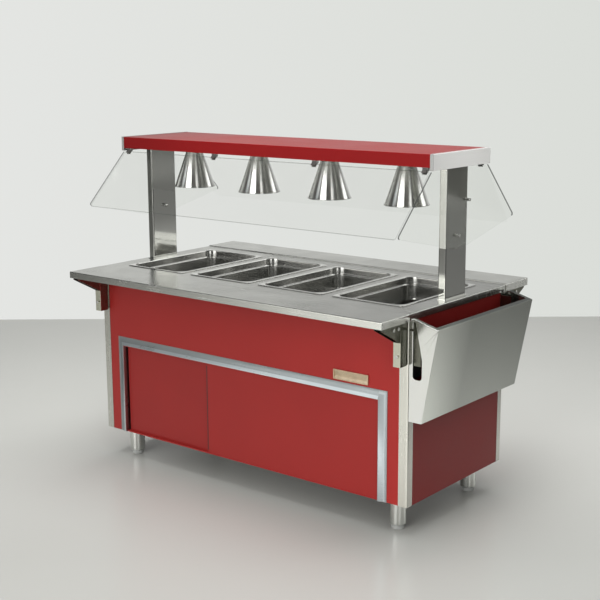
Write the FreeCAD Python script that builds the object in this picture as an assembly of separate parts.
import FreeCAD, Part
import math
import os
from FreeCAD import Vector

# Steam table unit: stainless counter with four hot wells, red cabinet with two
# sliding doors, glass food guard under a red canopy, and an end bin.
# Millimetres. +X runs along the counter towards the end bin and is called right,
# -Y is the front (door side), +Y the rear (control side), +Z is up, floor at z = 0.
# Lengths named HX and HY are half sizes about the middle of the counter.

# ---------------------------------------------------------------- dimensions
H = 857.0            # counter height
EDGE = 27.0          # depth of the folded counter edge
SHEET = 1.5          # sheet of the tops
TOP_HX, TOP_HY = 806.0, 345.0
SHELF_HX = 810.0
SHELF_Y = 520.0      # outer edge of each work shelf
REAR_RISE = 3.0      # the rear shelf stands this much above the counter
UNDER_TOP = H - SHEET - 0.1      # just below the counter sheet
UNDER_EDGE = H - EDGE - 0.2      # just below the folded edge

CAB_HX, CAB_HY = 805.0, 341.0
CAB_Z0, CAB_Z1 = 127.0, UNDER_EDGE
POST_W, POST_D = 40.0, 33.0      # corner post along X and along Y
PANEL = 1.2                      # sheet of the cabinet panels
PANEL_HX = CAB_HX - POST_W - 0.5     # front and rear panels, between the posts
PANEL_HY = CAB_HY - 1.0              # their outer faces
FRAME_HX, FRAME_HY = 783.0, 315.0
ANGLE, ANGLE_T = 25.0, 3.0       # leg and thickness of the frame angle
LEG_X, LEG_Y, LEG_R = 708.0, 254.0, 32.5
FOOT_R, FOOT_H = 25.0, 18.0
CORD_X, CORD_Z = -640.0, 250.0   # cord entry in the rear panel

PITCH = 372.0                    # well to well
WELL_X = [(i - 1.5) * PITCH for i in range(4)]
CUT_W, CUT_L, CUT_R = 309.0, 511.0, 27.0   # counter opening for a pan
BEAD = 0.8                       # raised bead round each opening, carries the pan
WELL_Z = 680.0                   # floor of the hot well

X_AXIS, Y_AXIS, Z_AXIS = Vector(1, 0, 0), Vector(0, 1, 0), Vector(0, 0, 1)
ORIGIN = Vector(0, 0, 0)

os.makedirs("parts", exist_ok=True)


# ------------------------------------------------------------------- helpers
def box(x0, x1, y0, y1, z0, z1):
    return Part.makeBox(x1 - x0, y1 - y0, z1 - z0, Vector(x0, y0, z0))


def block(half_x, half_y, z0, z1):
    return box(-half_x, half_x, -half_y, half_y, z0, z1)


def cylinder(x, y, z, radius, length, axis=Z_AXIS):
    return Part.makeCylinder(radius, length, Vector(x, y, z), axis)


def fuse(items):
    return items[0].fuse(items[1:]).removeSplitter()


def polygon_face(points):
    return Part.Face(Part.makePolygon(points + points[:1]))


def prism_x(outline, x0, x1):
    """Extrude an outline of (y, z) points."""
    return polygon_face([Vector(x0, y, z) for y, z in outline]).extrude(Vector(x1 - x0, 0, 0))


def prism_y(outline, y0, y1):
    """Extrude an outline of (x, z) points."""
    return polygon_face([Vector(x, y0, z) for x, z in outline]).extrude(Vector(0, y1 - y0, 0))


def prism_z(outline, z0, z1):
    """Extrude an outline of (x, y) points."""
    return polygon_face([Vector(x, y, z0) for x, y in outline]).extrude(Vector(0, 0, z1 - z0))


def revolve(profile, x, y):
    """Turn (radius, z) points about the vertical through (x, y)."""
    face = polygon_face([Vector(x + radius, y, z) for radius, z in profile])
    return face.revolve(Vector(x, y, 0), Z_AXIS, 360)


def revolve_y(profile, x, z):
    """Turn (radius, y) points about the line along Y through (x, z)."""
    face = polygon_face([Vector(x + radius, y, z) for radius, y in profile])
    return face.revolve(Vector(x, 0, z), Y_AXIS, 360)


def rounded_wire(x, y, width, length, radius, z):
    """Horizontal rectangle with rounded corners, counter-clockwise."""
    inset = radius * (1 - math.sqrt(0.5))
    corners = []
    for sx, sy in ((1, -1), (1, 1), (-1, 1), (-1, -1)):
        corner_x, corner_y = x + sx * width / 2.0, y + sy * length / 2.0
        on_short = Vector(corner_x - sx * radius, corner_y, z)
        on_long = Vector(corner_x, corner_y - sy * radius, z)
        middle = Vector(corner_x - sx * inset, corner_y - sy * inset, z)
        if sx != sy:
            corners.append((on_short, middle, on_long))
        else:
            corners.append((on_long, middle, on_short))
    edges = []
    for i, (start, middle, end) in enumerate(corners):
        edges.append(Part.Arc(start, middle, end).toShape())
        edges.append(Part.makeLine(end, corners[(i + 1) % 4][0]))
    return Part.Wire(edges)


def rounded_prism(x, y, width, length, radius, z0, z1):
    face = Part.Face(rounded_wire(x, y, width, length, radius, z0))
    return face.extrude(Vector(0, 0, z1 - z0))


def rounded_prism_xz(x, z, width, height, radius, y0, y1):
    solid = rounded_prism(x, z, width, height, radius, 0, y1 - y0)
    solid.rotate(ORIGIN, X_AXIS, 90)      # y -> z, z -> -y
    solid.translate(Vector(0, y1, 0))
    return solid


def hex_bolt(seat, axis, across_flats, head, shank_r, shank):
    """The head stands along axis from the seat, the shank runs the other way."""
    radius = across_flats / math.sqrt(3)
    angles = [math.radians(60 * i) for i in range(6)]
    bolt = prism_z([(radius * math.cos(a), radius * math.sin(a)) for a in angles], 0, head)
    bolt = bolt.fuse(cylinder(0, 0, -shank, shank_r, shank)).removeSplitter()
    bolt.Placement = FreeCAD.Placement(seat, FreeCAD.Rotation(Z_AXIS, axis))
    return bolt


def on_plane(edge, axis, value):
    return all(abs(getattr(v.Point, axis) - value) < 1e-6 for v in edge.Vertexes)


def mirror_x(shape):
    return shape.mirror(ORIGIN, X_AXIS)


def mirror_y(shape):
    return shape.mirror(ORIGIN, Y_AXIS)


def both_ends(shape):
    return [shape, mirror_x(shape)]


def four_corners(shape):
    return both_ends(shape) + both_ends(mirror_y(shape))


# --------------------------------------------------------- frame and cabinet
def frame_crossbar(x, half_width, z0, z1):
    return box(x - half_width, x + half_width, -FRAME_HY + 1, FRAME_HY - 1, z0, z1)


def body_frame():
    def span(side, outer, depth):
        return sorted((side * outer, side * (outer - depth)))

    low, high = CAB_Z0 + ANGLE, UNDER_TOP - ANGLE
    parts = []
    # top and bottom rings: an upright leg and a flat leg each
    for z0, z1, flat_z in ((high, UNDER_TOP, UNDER_TOP - ANGLE_T), (CAB_Z0, low, CAB_Z0)):
        inner = block(FRAME_HX - ANGLE_T, FRAME_HY - ANGLE_T, z0 - 1, z1 + 1)
        parts.append(block(FRAME_HX, FRAME_HY, z0, z1).cut(inner))
        flat_z1 = flat_z + ANGLE_T
        inner = block(FRAME_HX - ANGLE, FRAME_HY - ANGLE, flat_z - 1, flat_z1 + 1)
        parts.append(block(FRAME_HX, FRAME_HY, flat_z, flat_z1).cut(inner))
    for sx in (-1, 1):
        for sy in (-1, 1):      # corner uprights
            parts.append(box(*span(sx, FRAME_HX, ANGLE_T), *span(sy, FRAME_HY, ANGLE),
                             CAB_Z0, UNDER_TOP))
            parts.append(box(*span(sx, FRAME_HX, ANGLE), *span(sy, FRAME_HY, ANGLE_T),
                             CAB_Z0, UNDER_TOP))
        # tee over each pair of legs
        parts.append(frame_crossbar(sx * LEG_X, 25, CAB_Z0, CAB_Z0 + ANGLE_T))
        parts.append(frame_crossbar(sx * LEG_X, 1.5, CAB_Z0, low))
    for x in (-PITCH, 0.0, PITCH):      # carriers between the wells
        parts.append(frame_crossbar(x, 1.5, high, UNDER_TOP))
        parts.append(frame_crossbar(x, 12, UNDER_TOP - ANGLE_T, UNDER_TOP))
    return fuse(parts)


def corner_post():
    def rounded_corner(solid, x, y, radius):
        corner = [e for e in solid.Edges if on_plane(e, "x", x) and on_plane(e, "y", y)]
        return solid.makeFillet(radius, corner)

    wall, radius = 1.5, 7.0
    x0, y1 = CAB_HX - POST_W, -CAB_HY + POST_D
    post = rounded_corner(box(x0, CAB_HX, -CAB_HY, y1, CAB_Z0, CAB_Z1),
                          CAB_HX, -CAB_HY, radius)
    x, y = CAB_HX - wall, -CAB_HY + wall
    inner = rounded_corner(box(x0 - 1, x, y, y1 + 1, CAB_Z0 - 1, CAB_Z1 + 1),
                           x, y, radius - wall)
    return post.cut(inner)


def front_panel():
    margin = 12      # clearance round the door opening
    inner_hx, opening_hx = PANEL_HX - PANEL, DOOR_HX + margin
    panel = box(-PANEL_HX, PANEL_HX, -PANEL_HY, -FRAME_HY - 1, CAB_Z0, CAB_Z1)
    panel = panel.cut(box(-inner_hx, inner_hx, -PANEL_HY + PANEL, 0,
                          CAB_Z0 - 1, CAB_Z1 - PANEL))
    return panel.cut(box(-opening_hx, opening_hx, -PANEL_HY - 1, 0,
                         CAB_Z0 - 1, DOOR_TOP + margin))


def rear_panel():
    inner_hx, window_hx = PANEL_HX - PANEL, 286
    panel = box(-PANEL_HX, PANEL_HX, FRAME_HY + 1, PANEL_HY, CAB_Z0, CAB_Z1)
    panel = panel.cut(box(-inner_hx, inner_hx, 0, PANEL_HY - PANEL,
                          CAB_Z0 + PANEL, CAB_Z1 - PANEL))
    # window behind the control panel, and the cord hole
    panel = panel.cut(box(-window_hx, window_hx, PANEL_HY - 5, PANEL_HY + 1, 690, 790))
    return panel.cut(cylinder(CORD_X, PANEL_HY - 5, CORD_Z, 8.0, 10, Y_AXIS))


def end_panel():
    x1 = CAB_HX - 1.0
    half_y = CAB_HY - POST_D - 0.5
    panel = box(FRAME_HX + 1, x1, -half_y, half_y, CAB_Z0, CAB_Z1)
    return panel.cut(box(0, x1 - PANEL, -half_y + PANEL, half_y - PANEL,
                         CAB_Z0 + PANEL, CAB_Z1 - PANEL))


def bottom_shelf():
    z = CAB_Z0 + ANGLE + 0.2
    notch_x, notch_y, notch_half = 770, 302, 15      # clears the frame uprights
    shelf = block(FRAME_HX - 4, FRAME_HY - 4, z, z + PANEL)
    cutters = []
    for sx in (-1, 1):
        for sy in (-1, 1):
            x, y = sx * notch_x, sy * notch_y
            cutters.append(box(x - notch_half, x + notch_half,
                               y - notch_half, y + notch_half, z - 1, z + 5))
    cutters.append(cylinder(DRAIN_X, DRAIN_Y, z - 1, 16, 5))
    return shelf.cut(cutters)


def leg():
    """Front right leg: a tube with a thick bottom, bored for the foot, and a plate."""
    wall, bottom_t, plate_w = 2, 22, 96
    z0, z1 = FOOT_H + 1.0, CAB_Z0 - 3.2
    tube = cylinder(LEG_X, -LEG_Y, z0, LEG_R, z1 - z0)
    bottom = [e for e in tube.Edges if len(e.Vertexes) == 1 and on_plane(e, "z", z0)]
    tube = tube.makeFillet(4.0, bottom)
    tube = tube.cut(cylinder(LEG_X, -LEG_Y, z0 + bottom_t, LEG_R - wall, z1 - z0 - bottom_t))
    tube = tube.cut(cylinder(LEG_X, -LEG_Y, z0 - 1, 6.05, 30))
    plate = rounded_prism(LEG_X, -LEG_Y, plate_w, plate_w, 10, z1, CAB_Z0 - 0.2)
    return tube.fuse(plate).removeSplitter()


def foot():
    stem_r, stem_top = 6.0, 75
    return revolve([(0, 0), (FOOT_R - 3, 0), (FOOT_R - 0.6, 1.2), (FOOT_R, 4),
                    (FOOT_R, FOOT_H - 4), (FOOT_R - 1.2, FOOT_H - 1), (FOOT_R - 4, FOOT_H),
                    (stem_r, FOOT_H), (stem_r, stem_top), (0, stem_top)], LEG_X, -LEG_Y)


# --------------------------------------------------------- doors and surround
DOOR_HX = 678.0      # door opening half width
DOOR_TOP = 520.0     # door opening top
TRIM_OUT = 714.0     # outer edge of the door surround
DOOR_Z0, DOOR_Z1 = 129.4, 518.0
# x0, x1, y0, y1 of each door; the right one slides in front
DOOR_RIGHT = (-192.0, 674.0, -338.4, -330.2)
DOOR_LEFT = (-671.0, -160.0, -327.2, -319.0)
TRACK_WALLS = ((-340.4, -339.2), (-329.3, -328.1), (-318.0, -316.8))      # y0, y1


def door_surround():
    """Flat band, a lip that rises towards the opening, and a jamb."""
    # (distance from the middle of the opening, y)
    profile = [(TRIM_OUT, -340.1), (TRIM_OUT, -341.7), (699.5, -341.7), (679.8, -350.0),
               (DOOR_HX, -350.0), (DOOR_HX, -317.0), (DOOR_HX + 1.4, -317.0),
               (DOOR_HX + 1.4, -348.3), (699.2, -340.1)]
    drop = DOOR_HX - DOOR_TOP      # the 45 degree mitre line is z = x - drop
    reach, mask_y = 900, (-400, -200)
    right = prism_z(profile, CAB_Z0, CAB_Z0 + 500)
    right = right.common(prism_y([(0, -drop), (reach, reach - drop), (reach, -100), (0, -100)],
                                 *mask_y))
    top = prism_x([(y, out - drop) for out, y in profile], -800, 800)
    top = top.common(prism_y([(0, -drop), (reach, reach - drop), (-reach, reach - drop)],
                             *mask_y))
    return fuse([top, right, mirror_x(right)])


def door_track(z_base, up):
    """Channel with three walls that stand up from its base or hang from it."""
    base_t, wall_h = 1.4, 6.0
    half_x = DOOR_HX - 0.4
    if up:
        base_z, wall_z = (z_base, z_base + base_t), (z_base, z_base + wall_h)
    else:
        base_z, wall_z = (z_base - base_t, z_base), (z_base - wall_h, z_base)
    parts = [box(-half_x, half_x, TRACK_WALLS[0][0], TRACK_WALLS[-1][1], *base_z)]
    parts += [box(-half_x, half_x, y0, y1, *wall_z) for y0, y1 in TRACK_WALLS]
    return fuse(parts)


def door(x0, x1, y0, y1):
    """Folded tray, open to the rear, with a return all round."""
    wall, flange = 1.2, 22
    tray = box(x0, x1, y0, y1, DOOR_Z0, DOOR_Z1)
    tray = tray.cut(box(x0 + wall, x1 - wall, y0 + wall, y1 - wall,
                        DOOR_Z0 + wall, DOOR_Z1 - wall))
    return tray.cut(box(x0 + flange, x1 - flange, y1 - 2 * wall, y1 + 1,
                        DOOR_Z0 + flange, DOOR_Z1 - flange))


# -------------------------------------------------------- counter and shelves
def round_outside(solid, top, corner_r, edge_r, seam_y):
    """Round the upright corners, then the top rim, but leave the side at seam_y square."""
    def at_seam(edge):
        return seam_y is not None and on_plane(edge, "y", seam_y)

    upright_edges = []
    for edge in solid.Edges:
        start, end = edge.Vertexes[0].Point, edge.Vertexes[-1].Point
        is_upright = abs(start.x - end.x) < 1e-6 and abs(start.y - end.y) < 1e-6
        if is_upright and not at_seam(edge):
            upright_edges.append(edge)
    solid = solid.makeFillet(corner_r, upright_edges)
    rim = [e for e in solid.Edges if on_plane(e, "z", top) and not at_seam(e)]
    return solid.makeFillet(edge_r, rim)


def folded_top(half_x, y0, y1, top=H, seam=0):
    """Sheet with folded edges; seam -1 or +1 keeps the side at y0 or y1 square."""
    def inset_block(inset, corner_r, edge_r):
        in_y0, in_y1 = y0 + inset, y1 - inset
        solid = box(-half_x + inset, half_x - inset, in_y0, in_y1,
                    H - EDGE + inset, top - inset)
        seam_y = {0: None, -1: in_y0, 1: in_y1}[seam]
        return round_outside(solid, top - inset, corner_r, edge_r, seam_y)

    flange = 16.0
    shell = inset_block(0, 3.5, 3.2).cut(inset_block(SHEET, 2.3, 2.0))
    return shell.cut(box(-half_x + flange, half_x - flange, y0 + flange, y1 - flange,
                         H - EDGE - 1, H - EDGE + SHEET + 1))


def counter_top():
    bead_w = 3
    top = folded_top(TOP_HX, -TOP_HY, TOP_HY, seam=-1)
    top = top.fuse([rounded_prism(x, 0, CUT_W + 2 * bead_w, CUT_L + 2 * bead_w,
                                  CUT_R + bead_w, H - 1, H + BEAD)
                    for x in WELL_X]).removeSplitter()
    return top.cut([rounded_prism(x, 0, CUT_W, CUT_L, CUT_R, H - 5, H + 10) for x in WELL_X])


def front_shelf():
    return folded_top(SHELF_HX, -SHELF_Y, -TOP_HY - 0.6, seam=1)


def rear_shelf():
    return mirror_y(folded_top(SHELF_HX, -SHELF_Y, -TOP_HY - 2.2, H + REAR_RISE))


# shelf brackets, given for the front right
BRACKET_X0, BRACKET_X1 = 769.0, 800.0
BRACKET_WEB_Y = -388.0               # front face of the upright web
SIDE_BOLT_Y, SIDE_BOLT_Z = (-437, -407), 813
WEB_BOLT_X, WEB_BOLT_Z = 785, 706


def shelf_bracket():
    sheet, z0, web_z1 = 2.0, 667.0, 757.0
    y_in, y_tip = -CAB_HY - 0.2, -508.0
    corner_r = 12.0      # lower rear corner
    side = [(y_in, UNDER_EDGE), (y_tip, UNDER_EDGE), (y_tip, UNDER_EDGE - 9.0),
            (BRACKET_WEB_Y, web_z1), (BRACKET_WEB_Y, z0)]
    for k in range(7):
        angle = math.radians(270 + 15 * k)
        side.append((y_in - corner_r + corner_r * math.cos(angle),
                     z0 + corner_r + corner_r * math.sin(angle)))
    parts = [prism_x(side, x, x + sheet) for x in (BRACKET_X1 - sheet, BRACKET_X0)]
    parts.append(box(BRACKET_X0, BRACKET_X1, BRACKET_WEB_Y, BRACKET_WEB_Y + sheet, z0, web_z1))
    parts.append(box(BRACKET_X0, BRACKET_X1, y_tip, y_in, UNDER_EDGE - sheet, UNDER_EDGE))
    holes = [cylinder(795, y, SIDE_BOLT_Z, 3.3, 10, X_AXIS) for y in SIDE_BOLT_Y]
    holes.append(cylinder(WEB_BOLT_X, BRACKET_WEB_Y + sheet + 5, WEB_BOLT_Z, 3.3, 12,
                          Vector(0, -1, 0)))
    return fuse(parts).cut(holes)


def bracket_bolts():
    bolts = [hex_bolt(Vector(BRACKET_X1 + 0.1, y, SIDE_BOLT_Z), X_AXIS, 12.0, 5.5, 3.0, 9.0)
             for y in SIDE_BOLT_Y]
    bolts.append(hex_bolt(Vector(WEB_BOLT_X, BRACKET_WEB_Y - 0.1, WEB_BOLT_Z),
                          Vector(0, -1, 0), 13.0, 5.5, 3.0, 14.0))
    return bolts


# ------------------------------------------------------------ pans and wells
PAN_W, PAN_L = 325.0, 527.0      # full size food pan over its rim
PAN_Z = H + BEAD + 2.2           # top of the pan rim
# depth below the rim, half width, half length, corner radius of the pan's inside
PAN_SECTIONS = [
    (0.0, 151.0, 252.0, 30.0), (6.0, 149.0, 250.0, 29.0),
    (28.0, 148.2, 249.2, 28.5), (31.0, 143.0, 244.0, 27.0),
    (84.0, 140.0, 241.0, 25.0), (94.0, 137.0, 238.0, 24.0),
    (98.5, 131.0, 232.0, 20.0), (100.0, 123.0, 224.0, 15.0),
]


def food_pan(x):
    wall = 1.0

    def tub(grow):
        return Part.makeLoft([
            rounded_wire(x, 0, 2 * (half_w + grow), 2 * (half_l + grow), radius + grow,
                         PAN_Z - depth - grow)
            for depth, half_w, half_l, radius in PAN_SECTIONS], True, True)

    outer, inner = tub(wall), tub(0.0)
    rim = rounded_prism(x, 0, PAN_W, PAN_L, 9, PAN_Z - 1.9, PAN_Z)
    rim = rim.cut(rounded_prism(x, 0, PAN_W - 2 * wall, PAN_L - 2 * wall, 8,
                                PAN_Z - 5, PAN_Z - wall))
    opening = rounded_prism(x, 0, 302.0, 504.0, 30.0, PAN_Z - 0.5, PAN_Z + 1)
    return fuse([rim, outer]).cut([inner, opening])


def well_liner(x):
    wall = 1.2
    width, length, radius = CUT_W + 4, CUT_L + 4, CUT_R + 2
    liner = rounded_prism(x, 0, width + 2 * wall, length + 2 * wall, radius + wall,
                          WELL_Z - wall, UNDER_TOP)
    flange = rounded_prism(x, 0, width + 18, length + 22, radius + 8,
                           UNDER_TOP - wall, UNDER_TOP)
    liner = liner.fuse(flange).removeSplitter()
    liner = liner.cut(rounded_prism(x, 0, width, length, radius, WELL_Z, UNDER_TOP + 1))
    return liner.cut(cylinder(x, 0, WELL_Z - 5, 11.0, 10))      # drain hole


def heating_element(x):
    """Rounded loop of tube under the well floor, with two terminals."""
    z = WELL_Z - 7.0
    half_w, half_l, bend_r, tube_r = 110.0, 200.0, 60.0, 4.0
    bend_x, bend_y = half_w - bend_r, half_l - bend_r
    parts = [cylinder(x + side, -bend_y, z, tube_r, 2 * bend_y, Y_AXIS)
             for side in (half_w, -half_w)]
    parts += [cylinder(x - bend_x, y, z, tube_r, 2 * bend_x, X_AXIS)
              for y in (half_l, -half_l)]
    for k, (sx, sy) in enumerate(((1, 1), (-1, 1), (-1, -1), (1, -1))):
        bend = Part.makeTorus(bend_r, tube_r, ORIGIN, Z_AXIS, -180, 180, 90)
        bend.rotate(ORIGIN, Z_AXIS, 90 * k)
        bend.translate(Vector(x + sx * bend_x, sy * bend_y, z))
        parts.append(bend)
    parts += [cylinder(x + half_w, y, z - 28, tube_r - 0.5, 28) for y in (-12.0, 12.0)]
    return fuse(parts)


# --------------------------------------------------------------------- drain
DRAIN_X, DRAIN_Y = 640.0, 230.0      # the down pipe
PIPE_R, BORE_R = 12.7, 10.9
ELBOW_R = 16.0
MANIFOLD_Z = 632.0
VALVE_TOP, VALVE_Z = 430, 398        # top of the valve body, axis of its stem


def drain_manifold():
    z, x0, end_z = MANIFOLD_Z, WELL_X[0], VALVE_TOP + 0.2
    outer, inner = [], []
    for x in WELL_X:
        outer += [cylinder(x, 0, z, PIPE_R, WELL_Z - 1.3 - z),
                  cylinder(x, 0, z, ELBOW_R, 14),
                  cylinder(x, 0, WELL_Z - 12, 17.0, 10.6)]
        inner.append(cylinder(x, 0, z, BORE_R, WELL_Z))
    outer += [cylinder(x0 - 16, 0, z, PIPE_R, DRAIN_X - x0 + 16, X_AXIS),
              Part.makeSphere(ELBOW_R, Vector(DRAIN_X, 0, z)),
              cylinder(DRAIN_X, 0, z, PIPE_R, DRAIN_Y, Y_AXIS),
              Part.makeSphere(ELBOW_R, Vector(DRAIN_X, DRAIN_Y, z)),
              cylinder(DRAIN_X, DRAIN_Y, end_z, PIPE_R, z - end_z)]
    inner += [cylinder(x0 - 8, 0, z, BORE_R, DRAIN_X - x0 + 8, X_AXIS),
              Part.makeSphere(BORE_R, Vector(DRAIN_X, 0, z)),
              cylinder(DRAIN_X, 0, z, BORE_R, DRAIN_Y, Y_AXIS),
              Part.makeSphere(BORE_R, Vector(DRAIN_X, DRAIN_Y, z)),
              cylinder(DRAIN_X, DRAIN_Y, 425, BORE_R, z - 425)]
    return fuse(outer).cut(fuse(inner))


def drain_valve():
    """Valve body with its outlet pipe, and the ball inside."""
    body = revolve([(BORE_R, VALVE_TOP), (18, VALVE_TOP), (18, 416), (15, 414), (22, 408),
                    (22, 388), (15, 382), (18, 380), (18, 366), (PIPE_R, 366), (PIPE_R, 150),
                    (15.4, 150), (15.4, 124), (PIPE_R, 124), (PIPE_R, 98), (BORE_R, 98)],
                   DRAIN_X, DRAIN_Y)
    neck = cylinder(DRAIN_X, DRAIN_Y - 14, VALVE_Z, 9.0, 22, Vector(0, -1, 0))
    body = fuse([body, neck])
    body = body.cut(cylinder(DRAIN_X, DRAIN_Y - 40, VALVE_Z, 4.05, 26, Y_AXIS))
    return [body, Part.makeSphere(10.7, Vector(DRAIN_X, DRAIN_Y, VALVE_Z))]


def drain_valve_handle():
    x, y = DRAIN_X, DRAIN_Y
    stem = cylinder(x, y - 16, VALVE_Z, 4.0, 28, Vector(0, -1, 0))
    lever = prism_y([(x - 9, 389), (x + 9, 389), (x + 9, 410), (x + 7, 500), (x - 7, 500),
                     (x - 9, 410)], y - 38, y - 42)
    grip = box(x - 8.5, x + 8.5, y - 44, y - 36, 430, 503)
    grip = grip.makeFillet(2.5, grip.Edges)
    return fuse([stem, lever, grip])


# ----------------------------------------------------------------- controls
KNOB_X = (-210.0, -90.0, 90.0, 210.0)
KNOB_Z = 735.0
LIGHT_X = KNOB_X + (0.0,)        # an indicator over each knob and the switch
LIGHT_Z = KNOB_Z + 38
UNIT_Y = PANEL_HY + 0.1          # rear face of the control units
SWITCH_Y = UNIT_Y - 2.5          # pivot of the rocker


def control_panel():
    y0 = PANEL_HY + 0.2
    plate = rounded_prism_xz(0, 740, 600, 126, 8, y0, y0 + 2.0)
    cutters = [cylinder(x, y0 - 1, KNOB_Z, 5.1, 5, Y_AXIS) for x in KNOB_X]
    cutters += [cylinder(x, y0 - 1, LIGHT_Z, 4.1, 5, Y_AXIS) for x in LIGHT_X]
    cutters.append(box(-11.2, 11.2, y0 - 1, y0 + 5, KNOB_Z - 16.2, KNOB_Z + 16.2))
    return plate.cut(cutters)


def control_units():
    half = 21
    units = []
    for x in KNOB_X:
        unit = box(x - half, x + half, UNIT_Y - 34, UNIT_Y, KNOB_Z - half, KNOB_Z + half)
        unit = unit.fuse(cylinder(x, UNIT_Y, KNOB_Z, 5.0, 4.0, Y_AXIS)).removeSplitter()
        units.append(unit.cut(cylinder(x, UNIT_Y - 14, KNOB_Z, 3.05, 30, Y_AXIS)))
    # switch housing: open box with two side walls that carry the rocker
    housing = box(-17, 17, UNIT_Y - 30, UNIT_Y, KNOB_Z - 22, KNOB_Z + 22)
    housing = housing.cut(box(-11, 11, UNIT_Y - 26, UNIT_Y + 1, KNOB_Z - 18, KNOB_Z + 18))
    units.append(housing.cut(cylinder(-15, SWITCH_Y, KNOB_Z, 2.05, 30, X_AXIS)))
    return units


def control_knob(x):
    face_y = PANEL_HY + 4.6
    # radius, y from the inner face of the skirt
    profile = [(3.0, -12), (3.0, 0), (21.0, 0), (22.0, 1.0), (22.0, 4.0), (17.5, 6.0),
               (16.5, 20.0), (14.5, 22.0), (0, 22.0), (0, -12)]
    knob = revolve_y([(radius, face_y + y) for radius, y in profile], x, KNOB_Z)
    grip_y = face_y + 25.5
    grip = box(x - 4.5, x + 4.5, face_y + 5.5, grip_y, KNOB_Z - 18.5, KNOB_Z + 18.5)
    grip = grip.makeFillet(1.5, [e for e in grip.Edges if on_plane(e, "y", grip_y)])
    return fuse([knob, grip])


def power_switch():
    # y and z from the pivot
    side = [(-4, -13), (6.5, -14.5), (4.8, -7), (4.2, 0), (4.8, 7), (6.5, 14.5), (-4, 13)]
    rocker = prism_x([(SWITCH_Y + y, KNOB_Z + z) for y, z in side], -10, 10)
    rocker = rocker.fuse(cylinder(-14, SWITCH_Y, KNOB_Z, 2.0, 28, X_AXIS)).removeSplitter()
    rocker.rotate(Vector(0, SWITCH_Y, KNOB_Z), X_AXIS, 10)
    return rocker


def indicator_lamp(x):
    # radius, y from the unit face
    profile = [(0, -6), (4.0, -6), (4.0, 2.2), (6.0, 2.2), (6.0, 3.4), (4.8, 5.4),
               (2.8, 6.6), (0, 7.0)]
    return revolve_y([(radius, UNIT_Y + y) for radius, y in profile], x, LIGHT_Z)


def power_cord():
    """Gland, and a cord that drops, loops up again and ends in a plug."""
    x, z = CORD_X, CORD_Z
    gland_y, bend_r, loop_r, loop_z = 352, 18, 25, 60
    drop_y, plug_x = gland_y + bend_r, x + 2 * loop_r
    gland = revolve_y([(0, 318), (7.8, 318), (7.8, 340.1), (13, 340.1), (13, 346),
                       (10, gland_y), (0, gland_y)], x, z)
    start, bend_start = Vector(x, 345, z), Vector(x, gland_y, z)
    bend_mid = Vector(x, gland_y + bend_r * math.sin(math.pi / 4),
                      z - bend_r + bend_r * math.cos(math.pi / 4))
    bend_end, loop_start = Vector(x, drop_y, z - bend_r), Vector(x, drop_y, loop_z)
    loop_mid = Vector(x + loop_r, drop_y, loop_z - loop_r)
    loop_end, end = Vector(plug_x, drop_y, loop_z), Vector(plug_x, drop_y, 120)
    path = Part.Wire([Part.makeLine(start, bend_start),
                      Part.Arc(bend_start, bend_mid, bend_end).toShape(),
                      Part.makeLine(bend_end, loop_start),
                      Part.Arc(loop_start, loop_mid, loop_end).toShape(),
                      Part.makeLine(loop_end, end)])
    section = Part.Wire(Part.makeCircle(5.0, start, Y_AXIS))
    cord = path.makePipeShell([section], True, True)
    plug = revolve([(0, 118), (8, 118), (10, 124), (16, 134), (17, 166), (14, 170), (0, 170)],
                   plug_x, drop_y)
    pins = [box(plug_x + dx - 0.8, plug_x + dx + 0.8, drop_y - 3, drop_y + 3, 169, 187)
            for dx in (-6.35, 6.35)]
    return fuse([gland, cord, plug] + pins)


# ---------------------------------------------------------- canopy and lamps
CANOPY_HX, CANOPY_HY = 804.0, 200.5
CANOPY_Z0, CANOPY_Z1 = 1350.0, 1410.0      # end caps
FASCIA_Z0, FASCIA_Z1 = 1361.0, 1409.1      # red shell
SOFFIT_Z0 = FASCIA_Z0 + 1.4
SOFFIT_Z1 = SOFFIT_Z0 + 1.2
UP_X0, UP_X1, UP_HY = 751.0, 784.0, 73.0   # upright: inner face, outer face, half depth
LAMP_Z0, LAMP_Z1 = 1193.0, SOFFIT_Z0 - 0.2
LAMP_R0, LAMP_SLOPE = 88.0, 0.344          # shade radius at LAMP_Z0, its loss per mm of rise
# radius and z of the bulb; radii are multiplied by BULB_SCALE to fit inside the shade
BULB_PROFILE = [
    (0, 1222), (20, 1222.6), (40, 1225), (54, 1230), (61, 1237), (63, 1245), (61.5, 1253),
    (54, 1266), (44, 1280), (34, 1296), (25, 1312), (18, 1324), (14, 1335.8), (0, 1335.8),
]
BULB_SCALE = 0.92


def upright():
    x, width, depth = (UP_X0 + UP_X1) / 2, UP_X1 - UP_X0, 2 * UP_HY
    wall, base_z1 = 2, H + 2.1
    tube = rounded_prism(x, 0, width, depth, 5, base_z1, FASCIA_Z0 + 1.3)
    tube = tube.cut(rounded_prism(x, 0, width - 2 * wall, depth - 2 * wall, 3,
                                  H + 5, FASCIA_Z0 - 1.5))
    base = rounded_prism(x, 0, width + 8, depth + 8, 6, H + 0.1, base_z1)
    tube = tube.fuse(base).removeSplitter()
    return tube.cut(cylinder(UP_X0 - 5, *THROUGH_STANDOFF, 4.2, 60, X_AXIS))


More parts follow.
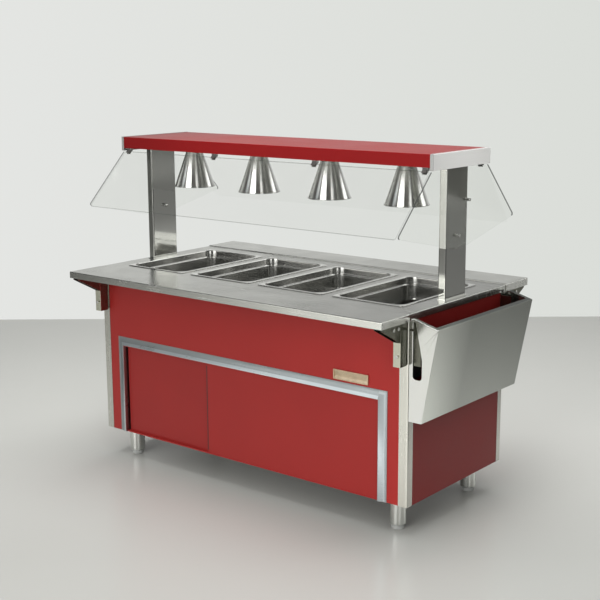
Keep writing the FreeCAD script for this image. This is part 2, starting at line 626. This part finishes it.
def canopy_shell():
    wall, lip = 1.2, 12
    half_x, half_y = CANOPY_HX - 14.2, CANOPY_HY - 1.5
    shell = block(half_x, half_y, FASCIA_Z0, FASCIA_Z1)
    top = [e for e in shell.Edges if on_plane(e, "z", FASCIA_Z1) and e.BoundBox.XLength > 100]
    shell = shell.makeFillet(2.5, top)
    shell = shell.cut(block(half_x + 1, half_y - wall, FASCIA_Z0 + wall, FASCIA_Z1 - wall))
    return shell.cut(block(half_x + 1, half_y - lip, FASCIA_Z0 - 1, FASCIA_Z0 + 2))


def canopy_end():
    wall, x0 = 1.5, CANOPY_HX - 14
    cap = box(x0, CANOPY_HX, -CANOPY_HY, CANOPY_HY, CANOPY_Z0, CANOPY_Z1)
    cap = cap.makeFillet(2.0, [e for e in cap.Edges if on_plane(e, "x", CANOPY_HX)])
    return cap.cut(box(x0 - 1, CANOPY_HX - wall, -CANOPY_HY + wall, CANOPY_HY - wall,
                       CANOPY_Z0 + wall, CANOPY_Z1 - wall))


def canopy_soffit():
    soffit = block(CANOPY_HX - 16, CANOPY_HY - 3.0, SOFFIT_Z0, SOFFIT_Z1)
    return soffit.cut([cylinder(x, 0, SOFFIT_Z0 - 1, 22.4, 4) for x in WELL_X])


def lamp_shade(x):
    def cone_r(z):
        return LAMP_R0 - LAMP_SLOPE * (z - LAMP_Z0)

    hole_r, brim_z = 23.0, LAMP_Z0 + 8
    top_r, brim_r = cone_r(LAMP_Z1), cone_r(brim_z)
    return revolve([(hole_r, LAMP_Z1), (top_r, LAMP_Z1), (brim_r, brim_z),
                    (LAMP_R0 + 0.2, LAMP_Z0 + 2.6), (LAMP_R0 + 1.6, LAMP_Z0 + 1.8),
                    (LAMP_R0 + 1.8, LAMP_Z0 + 0.4), (LAMP_R0 + 0.6, LAMP_Z0 - 0.8),
                    (LAMP_R0 - 1.0, LAMP_Z0), (brim_r - 1.0, brim_z),
                    (top_r - 1.0, LAMP_Z1 - 1.2), (hole_r, LAMP_Z1 - 1.2)], x, 0)


def lamp_socket(x):
    z = SOFFIT_Z1 + 0.1      # its flange rests on the soffit
    return revolve([(0, 1336), (17, 1336), (17, 1342), (22, 1342), (22, z), (34, z),
                    (34, z + 3), (22, z + 3), (20, 1398), (0, 1398)], x, 0)


def heat_bulb(x):
    return revolve([(radius * BULB_SCALE, z) for radius, z in BULB_PROFILE], x, 0)


# --------------------------------------------------------------- glass guard
GLASS_T, GLASS_HX, GLASS_LEN = 6.0, 786.0, 306.0
HINGE_Y, HINGE_Z = 188.0, 1353.0
FRONT_TILT, REAR_TILT = 44.6, 37.4      # panes, degrees from vertical
CLIP_X = (-765.0, -262.0, 262.0, 765.0)
END_X0, END_X1 = 791.0, 797.0           # faces of the end pane
# y, z of the standoffs; the second one runs through the upright
STANDOFFS = ((66.0, 1223.0), (0.0, 1095.0))
THROUGH_STANDOFF = STANDOFFS[1]


def hang_in_front(shape, tilt):
    """Swing a piece built about the X axis out towards -Y, then lift it to the hinge."""
    shape.rotate(ORIGIN, X_AXIS, -tilt)
    shape.translate(Vector(0, -HINGE_Y, HINGE_Z))
    return shape


def glass_pane(tilt):
    top, bottom = -10.0, -10.0 - GLASS_LEN

    def corners_at(solid, z):
        return [e for e in solid.Edges if e.BoundBox.YLength > 5 and on_plane(e, "z", z)]

    pane = block(GLASS_HX, GLASS_T / 2, bottom, top)
    pane = pane.makeFillet(8.0, corners_at(pane, bottom)).copy()
    pane = pane.makeFillet(5.0, corners_at(pane, top))
    return hang_in_front(pane, tilt)


def glass_clamp(x, tilt):
    half = 9.6
    clamp = box(x - half, x + half, -5.6, 5.6, -19, -4)
    clamp = clamp.fuse(cylinder(x - half, 0, 0, 5.0, 2 * half, X_AXIS)).removeSplitter()
    clamp = clamp.cut([cylinder(x - 12, 0, 0, 3.06, 24, X_AXIS),
                       box(x - 12, x + 12, -3.08, 3.08, -33, -9.9)])
    return hang_in_front(clamp, tilt)


def hinge_bracket(x):
    """Plate under the canopy shell, two ears and the pin between them."""
    half, ear_t, ear_r = 13, 3.0, 5.0
    z1 = FASCIA_Z0 - 0.1
    parts = [box(x - half, x + half, -HINGE_Y - 6, -HINGE_Y + 8, z1 - 2.1, z1)]
    for x0 in (x - half, x + half - ear_t):
        parts += [box(x0, x0 + ear_t, -HINGE_Y - ear_r, -HINGE_Y + ear_r, HINGE_Z, z1 - 1),
                  cylinder(x0, -HINGE_Y, HINGE_Z, ear_r, ear_t, X_AXIS)]
    parts.append(cylinder(x - half, -HINGE_Y, HINGE_Z, 3.0, 2 * half, X_AXIS))
    return fuse(parts)


def glass_end():
    side, point = (408, 1130), (0, 1041)
    pane = prism_x([(-197, 1345), (197, 1345), side, point, (-side[0], side[1])],
                   END_X0, END_X1)

    def corner(solid, y, z):
        return [e for e in solid.Edges if on_plane(e, "y", y) and on_plane(e, "z", z)]

    both_sides = [e for e in pane.Edges
                  if on_plane(e, "z", side[1])
                  and (on_plane(e, "y", side[0]) or on_plane(e, "y", -side[0]))]
    pane = pane.makeFillet(8.0, both_sides)
    pane = pane.makeFillet(10.0, corner(pane, *point))
    return pane.cut([cylinder(END_X0 - 1, y, z, 4.6, 10, X_AXIS) for y, z in STANDOFFS])


def standoff(y, z):
    through = (y, z) == THROUGH_STANDOFF
    spacer_x, cap_x, nut_x = UP_X1 + 0.1, END_X1 + 0.1, UP_X0 - 0.1
    rod_x = nut_x if through else spacer_x
    cap_h = 1.6 if through else 3.0
    cap = cylinder(cap_x, y, z, 6.0, cap_h, X_AXIS)
    cap = cap.makeFillet(1.0, [e for e in cap.Edges
                               if len(e.Vertexes) == 1 and on_plane(e, "x", cap_x + cap_h)])
    parts = [cylinder(spacer_x, y, z, 6.0, END_X0 - UP_X1 - 0.2, X_AXIS),
             cylinder(rod_x, y, z, 4.0, cap_x - rod_x + 0.5, X_AXIS), cap]
    if through:
        # domed nut on the inner side
        dome_x, dome_r = UP_X0 - 14.0, 5.6
        parts += [hex_bolt(Vector(nut_x, y, z), Vector(-1, 0, 0), 13.0, 9.0, 3.9, 1.0),
                  cylinder(dome_x, y, z, dome_r, nut_x - dome_x, X_AXIS),
                  Part.makeSphere(dome_r, Vector(dome_x, y, z))]
    return fuse(parts)


# -------------------------------------------------------- end bin, nameplate
BIN_X0 = 806.2       # back edge of the end bin
BIN_XT = 812.0       # back edge above the underside of the counter edge
BIN_X1 = 927.0       # outermost edge of the end bin
BIN_HY = CAB_HY
PEG_X, PEG_Z = 822, 800      # hanger peg


def end_bin():
    wall, lip, z0 = 1.5, 14.0, 459.0
    foot_x = 861.0                        # where the outer wall meets the floor
    rim_x, rim_z, outer_z = 833, 838.5, 813.0      # the rim slopes down from rim_x to BIN_X1
    step_z = H - EDGE - 2.0
    slope = (BIN_X1 - foot_x) / (outer_z - z0)
    outer = prism_y([(BIN_X0, z0), (foot_x, z0), (BIN_X1, outer_z), (rim_x, rim_z),
                     (BIN_XT, rim_z), (BIN_XT, step_z), (BIN_X0, step_z)], -BIN_HY, BIN_HY)
    wall_x = wall * math.sqrt(1 + slope * slope)      # sloping wall, measured along X
    in_x, in_z, in_hy = BIN_X0 - 2, z0 + wall, BIN_HY - wall
    inner = prism_y([(in_x, in_z), (foot_x + slope * wall - wall_x, in_z),
                     (BIN_X1 - wall_x - 0.2, outer_z - wall - 0.6), (rim_x, rim_z - wall),
                     (BIN_XT, rim_z - wall), (BIN_XT, step_z - wall), (in_x, step_z - wall)],
                    -in_hy, in_hy)
    shell = outer.cut(inner)
    shell = shell.cut(box(in_x, BIN_X1 - lip - 4, -BIN_HY + lip, BIN_HY - lip, 790, 860))
    # rolled hem along the rim
    hem_r, hem_y = 2.2, BIN_HY - 0.6
    rim = [(BIN_XT + 4.4, rim_z - 1.2), (rim_x, rim_z - 1.2),
           (BIN_X1 - hem_r - 0.2, outer_z - 1.4)]
    path = [Vector(x, -hem_y, z) for x, z in rim]
    path += [Vector(x, hem_y, z) for x, z in reversed(rim)]
    rolls = [Part.makeSphere(hem_r, p) for p in path]
    for start, end in zip(path, path[1:]):
        rolls.append(Part.makeCylinder(hem_r, start.distanceToPoint(end), start,
                                       end.sub(start)))
    shell = shell.fuse(rolls).removeSplitter()
    # notches and peg slots in both end walls, and a crease by the back strip
    notch = [(822, 830), (831, 830), (852, 735), (860, 692), (860, 638), (822, 638)]
    cutters = []
    for y in (-BIN_HY - 1, BIN_HY - 4):
        cutters.append(prism_y(notch, y, y + 5))
        cutters.append(rounded_prism_xz(841.0, 640.0, 38.0, 42.0, 12.0, y, y + 5))
        cutters.append(box(BIN_X0 - 1, PEG_X, y, y + 5, PEG_Z - 4.2, PEG_Z + 4.2))
        cutters.append(cylinder(PEG_X, y, PEG_Z, 4.2, 5, Y_AXIS))
    crease_x, crease = 820.0, 0.7
    for y in (-BIN_HY, BIN_HY):
        cutters.append(prism_z([(crease_x, y - crease), (crease_x + crease, y),
                                (crease_x, y + crease), (crease_x - crease, y)],
                               z0 - 1, step_z - 7))
    return shell.cut(cutters)


def bin_bracket():
    """Channel hanger on the cabinet end with a peg for the bin's slot."""
    sheet, z0, z1 = 2, 669.0, 822.0
    x0, x1 = CAB_HX + 0.3, 853.0
    y0, y1 = -337.6, -306.6
    hanger = fuse([box(x0, x1, y0, y0 + sheet, z0, z1), box(x0, x1, y1 - sheet, y1, z0, z1),
                   box(x1 - sheet, x1, y0, y1, z0, z1),
                   box(x0, x0 + sheet, y0, y1, z0 + 30, z1)])
    peg = cylinder(PEG_X, y0 + 1, PEG_Z, 4.0, 4.6, Vector(0, -1, 0))
    return hanger.fuse(peg).removeSplitter()


def nameplate():
    """Blank framed plate: a field that slopes inwards from its top edge to a slot."""
    y1 = -PANEL_HY - 0.1
    plate = rounded_prism_xz(548.5, 583, 161, 38, 2.5, y1 - 5.0, y1)
    field = [(y1 - 6.0, 598.5), (y1 - 4.2, 598.5), (y1 - 1.2, 580.5), (y1 - 1.2, 576.0),
             (y1 - 4.2, 568.0), (y1 - 6.0, 568.0)]
    plate = plate.cut(prism_x(field, 473.0, 624.0))
    return plate.cut(box(486.0, 611.0, y1 - 2.0, y1 - 0.5, 576.0, 580.8))


# -------------------------------------------------------------------- export
# the exported origin is on the floor under the middle of the overall length
SHIFT = Vector(-(BIN_X1 - SHELF_HX) / 2.0, 0, 0)


def export(name, *shapes):
    solids = []
    for shape in shapes:
        moved = shape.copy()
        moved.translate(SHIFT)
        solids += moved.Solids
    result = solids[0] if len(solids) == 1 else Part.makeCompound(solids)
    result.exportStep("parts/%s.step" % name)


def export_ends(name, right):
    export(name + "_right", right)
    export(name + "_left", mirror_x(right))


export("body_frame", body_frame())
export("corner_posts", *four_corners(corner_post()))
export("front_panel", front_panel())
export("rear_panel", rear_panel())
export_ends("end_panel", end_panel())
export("bottom_shelf", bottom_shelf())
export("legs", *four_corners(leg()))
front_foot = foot()
export_ends("foot_front", front_foot)
export_ends("foot_rear", mirror_y(front_foot))
export("door_surround", door_surround())
export("door_tracks", door_track(127.2, True), door_track(DOOR_TOP - 0.1, False))
export("door_right", door(*DOOR_RIGHT))
export("door_left", door(*DOOR_LEFT))
export("counter_top", counter_top())
export("front_shelf", front_shelf())
export("rear_shelf", rear_shelf())
bracket = shelf_bracket()
export("front_shelf_brackets", *both_ends(bracket))
export("rear_shelf_brackets", *both_ends(mirror_y(bracket)))
export("shelf_bolts", *[copy for bolt in bracket_bolts() for copy in four_corners(bolt)])
for i, x in enumerate(WELL_X):
    export("food_pan_%d" % (i + 1), food_pan(x))
export("well_liners", *map(well_liner, WELL_X))
export("heating_elements", *map(heating_element, WELL_X))
export("drain_manifold", drain_manifold())
export("drain_valve", *drain_valve())
export("drain_valve_handle", drain_valve_handle())
export("control_panel", control_panel())
export("control_units", *control_units())
for i, x in enumerate(KNOB_X):
    export("control_knob_%d" % (i + 1), control_knob(x))
export("power_switch", power_switch())
export("indicator_lamps", *map(indicator_lamp, LIGHT_X))
export("power_cord", power_cord())
export_ends("upright", upright())
export("canopy_shell", canopy_shell())
export_ends("canopy_end", canopy_end())
export("canopy_soffit", canopy_soffit())
export("lamp_shades", *map(lamp_shade, WELL_X))
export("lamp_sockets", *map(lamp_socket, WELL_X))
export("heat_bulbs", *map(heat_bulb, WELL_X))
export("glass_front", glass_pane(FRONT_TILT))
export("glass_rear", mirror_y(glass_pane(REAR_TILT)))
export_ends("glass_end", glass_end())
export("glass_clamps_front", *[glass_clamp(x, FRONT_TILT) for x in CLIP_X])
export("glass_clamps_rear", *[mirror_y(glass_clamp(x, REAR_TILT)) for x in CLIP_X])
hinges = [hinge_bracket(x) for x in CLIP_X]
export("glass_hinge_brackets", *hinges, *map(mirror_y, hinges))
right_standoffs = [standoff(y, z) for y, z in STANDOFFS]
export("glass_standoffs", *right_standoffs, *map(mirror_x, right_standoffs))
export("end_bin", end_bin())
hanger = bin_bracket()
export("bin_brackets", hanger, mirror_y(hanger))
export("nameplate", nameplate())
